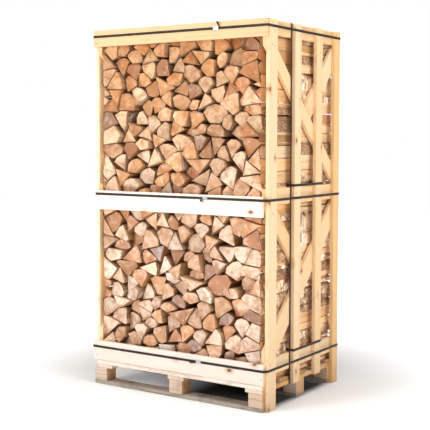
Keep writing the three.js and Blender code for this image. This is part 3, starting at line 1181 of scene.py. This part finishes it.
def tie_crossings(tier):
    """(y, z) where each tie passes through a tier."""
    low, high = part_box(tier)
    crossings = []
    for tie in ("strap_tie_middle", "strap_tie_bottom"):
        tie_low, tie_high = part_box(tie)
        z = (tie_low.z + tie_high.z) / 2
        for y in (tie_low.y + HALF_STRAP, tie_high.y - HALF_STRAP):
            if low.y < y < high.y:
                crossings.append((y, z))
    return crossings


def make_logs():
    front_low, front_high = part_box("logs_front_tier")
    back_low, back_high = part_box("logs_back_tier")
    make_tier("logs_front_tier", 5, front_low.y, front_high.y)
    make_tier("logs_back_tier", 11, back_high.y, back_low.y)


# ---------------------------------------------------------------- straps, seals and nails


def finish_straps():
    """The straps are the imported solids, in strap plastic."""
    for node, solid in NODES.items():
        if node.startswith("strap_") and "seal" not in node:
            solid.data.materials.clear()
            solid.data.materials.append(STRAP)


SEAL_CRIMPS = (0.22, 0.5, 0.78)  # where a seal is pinched, as shares of its length
CRIMP = 0.13
CRIMP_REACH = 0.09
SEAL_ROUNDING = 0.0005
HALF_WIDTH = 0.0068  # of a strap


def make_seal(node):
    """A steel clip folded round the strap, pinched in three places."""
    low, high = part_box(node)
    size = high - low
    bm = bmesh.new()
    bmesh.ops.create_cube(bm, size=1)
    bmesh.ops.scale(bm, vec=size, verts=bm.verts)
    for crimp in SEAL_CRIMPS:
        for share in (crimp - CRIMP_REACH, crimp, crimp + CRIMP_REACH):
            cut_across(bm, Vector(((share - 0.5) * size.x, 0, 0)), (1, 0, 0))
    for vert in bm.verts:
        share = vert.co.x / size.x + 0.5
        if min(abs(share - crimp) for crimp in SEAL_CRIMPS) < 0.01:
            vert.co.z *= 1 - CRIMP
            vert.co.y *= 0.8
    bevel(bm, [edge for edge in bm.edges if edge.calc_face_angle(0) > 0.9], SEAL_ROUNDING)
    bmesh.ops.translate(bm, verts=bm.verts, vec=(low + high) / 2)
    finish_piece(bm, node + "_clip", [STEEL], [node])


# Loose strap ends at the seals: (along X, out, up, lean of the strap's width) in mm from the
# middle of the seal, the lean in degrees from upright.
STRAP_ENDS = {
    "top": [(15, 1.5, 0, 0), (22, 3, 2, 18), (23, 6, 10, 55), (18, 9, 22, 76), (12, 10, 36, 80)],
    "middle": [
        (-14, 1.5, 0, 0), (-20, 4, -3, -20), (-21, 8, -10, -60), (-15, 9, -18, -80), (-8, 6, -20, -110)
    ],
    "bottom": [(-15, 1.5, 0, 0), (-28, 4, -2, 4), (-42, 5, -4, 8), (-58, 3, -6, 10)],
}


def make_strap_end(level):
    """The end of a strap that sticks out of its seal."""
    low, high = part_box(f"strap_seal_{level}")
    middle = (low + high) / 2
    bm = bmesh.new()
    edge = None
    for x, out, up, lean in STRAP_ENDS[level]:
        centre = middle + Vector((x, -out, up)) * MM
        turn = math.radians(lean)
        side = Vector((-math.sin(turn), 0, math.cos(turn))) * HALF_WIDTH
        if edge is None:
            edge = bm.edges.new((bm.verts.new(centre - side), bm.verts.new(centre + side)))
            continue
        made = bmesh.ops.extrude_edge_only(bm, edges=[edge])
        edge = of_kind(made, bmesh.types.BMEdge)[0]
        ends = of_kind(made, bmesh.types.BMVert)
        ends.sort(key=lambda vert: (vert.co - centre).dot(side))
        ends[0].co = centre - side
        ends[1].co = centre + side
    bmesh.ops.subdivide_edges(bm, edges=bm.edges, cuts=2, smooth=0.6, use_grid_fill=True)
    bmesh.ops.recalc_face_normals(bm, faces=bm.faces)
    bmesh.ops.solidify(bm, geom=bm.faces[:], thickness=0.0011)
    bmesh.ops.recalc_face_normals(bm, faces=bm.faces)
    finish_piece(bm, f"strap_end_{level}", [STRAP])


NAIL_HEAD = 0.0034
NAIL_PROUD = 0.0009


def make_nails(name, places, outward):
    """Nail heads, just proud of the boards, joined into one piece."""
    bm = bmesh.new()
    turn = Vector((0, 0, 1)).rotation_difference(Vector(outward)).to_matrix().to_4x4()
    for place in places:
        lift = Matrix.Translation(Vector(place) + Vector(outward) * NAIL_PROUD * 0.25)
        shape = {"radius1": NAIL_HEAD, "radius2": NAIL_HEAD * 0.86, "depth": NAIL_PROUD * 1.5}
        bmesh.ops.create_cone(bm, cap_ends=True, segments=12, matrix=lift @ turn, **shape)
    finish_piece(bm, name, [NAIL])


def wall_nail_places(side, face):
    """Where the battens of a wall are nailed to its rails and braces."""
    rng = np.random.default_rng(41 if side == "left" else 43)
    places = []
    for batten in range(1, 5):
        batten_low, batten_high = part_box(f"{side}_batten_{batten}")
        y = (batten_low.y + batten_high.y) / 2
        for rail in ("top", "middle", "bottom"):
            low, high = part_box(f"{side}_rail_{rail}")
            z = (low.z + high.z) / 2
            places += [(face, y - 0.017, z + 0.02), (face, y + 0.016, z - 0.021)]
        for brace in ("upper_long", "upper_short", "lower_long", "lower_short"):
            data = NODES[f"{side}_brace_{brace}"].data
            points = np.array([vert.co[:] for vert in data.vertices])
            along = board_axes(points)[0]
            middle = Vector((points.max(0) + points.min(0)) / 2)
            z = middle.z + (y - middle.y) * along.z / along.y
            reach = (points[:, 1].min() + 0.03, points[:, 1].max() - 0.03)
            if reach[0] < y < reach[1] and points[:, 2].min() < z < points[:, 2].max():
                places += [(face, y - 0.012, z + 0.004), (face, y + 0.014, z - 0.006)]
    return [(x, y + rng.normal(0, 0.003), z + rng.normal(0, 0.003)) for x, y, z in places]


def board_nail_places(prefix, edge):
    """Where the boards across the front or back are nailed at their ends."""
    rng = np.random.default_rng(47)
    places = []
    for level in ("top", "middle", "bottom"):
        low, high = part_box(f"{prefix}_board_{level}")
        face = low.y if edge < 0 else high.y
        z = (low.z + high.z) / 2
        for x in (max(low.x + 0.02, -0.589), min(high.x - 0.012, 0.589)):
            for rise in (-0.026, 0.027):
                places.append((x + rng.normal(0, 0.002), face, z + rise + rng.normal(0, 0.003)))
    return places


def make_fixings():
    for level in ("top", "middle", "bottom"):
        make_seal(f"strap_seal_{level}")
        make_strap_end(level)
    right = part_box("right_batten_1")[1].x
    make_nails("right_wall_nails", wall_nail_places("right", right), (1, 0, 0))
    make_nails("left_wall_nails", wall_nail_places("left", -right), (-1, 0, 0))
    make_nails("front_board_nails", board_nail_places("front", -1), (0, -1, 0))
    make_nails("back_board_nails", board_nail_places("back", 1), (0, 1, 0))


# ---------------------------------------------------------------- floor, light and camera

WORLD_LIGHT = 0.22
FLOOR_REACH = 14
FLOOR_DROP = 0.0005  # keeps the floor clear of the pallet's underside
CAMERA_PLACE = (3.1895, -4.8444, 1.4772)
CAMERA_TURN = (87.029, -0.138, 33.494)
LENS = 80.51
LENS_SHIFT = -0.06


def make_floor():
    bm = bmesh.new()
    bmesh.ops.create_grid(bm, x_segments=1, y_segments=1, size=FLOOR_REACH)
    bmesh.ops.translate(bm, verts=bm.verts, vec=(0, 0, -FLOOR_DROP))
    as_object(bm, "studio_floor", [floor_finish()])


def add_lamp(name, place, target, size, power, colour=(1, 1, 1)):
    lamp = bpy.data.lights.new(name, "AREA")
    lamp.size = size
    lamp.energy = power
    lamp.color = colour
    rig = bpy.data.objects.new(name, lamp)
    rig.location = place
    rig.rotation_euler = (Vector(target) - Vector(place)).to_track_quat("-Z", "Y").to_euler()
    bpy.context.scene.collection.objects.link(rig)


def light_scene():
    scene = bpy.context.scene
    scene.view_settings.view_transform = "Standard"
    world = bpy.data.worlds.new("studio_white")
    world.use_nodes = True
    tree = world.node_tree
    background = tree.nodes["Background"]
    background.inputs["Color"].default_value = (1, 1, 1, 1)
    seen = tree.nodes.new("ShaderNodeLightPath")
    strength = tree.nodes.new("ShaderNodeMapRange")
    tree.links.new(seen.outputs["Is Camera Ray"], strength.inputs["Value"])
    strength.inputs["To Min"].default_value = WORLD_LIGHT
    tree.links.new(strength.outputs["Result"], background.inputs["Strength"])
    scene.world = world
    add_lamp("front_softbox", (-2.2, -5.6, 3.4), (0, 0, 1.0), 2.0, 165)
    add_lamp("side_softbox", (5.6, -1.0, 3.0), (0, 0, 1.0), 2.0, 104, (1.0, 0.97, 0.93))
    add_lamp("overhead_softbox", (0.4, -0.6, 5.4), (0, 0, 0), 4.0, 235)


def set_camera():
    data = bpy.data.cameras.new("camera")
    data.sensor_width = 36
    data.lens = LENS
    data.shift_y = LENS_SHIFT
    camera = bpy.data.objects.new("camera", data)
    camera.location = CAMERA_PLACE
    camera.rotation_euler = [math.radians(turn) for turn in CAMERA_TURN]
    bpy.context.scene.collection.objects.link(camera)
    bpy.context.scene.camera = camera


set_camera()
light_scene()
make_floor()
make_boards()
finish_straps()
make_fixings()
make_logs()
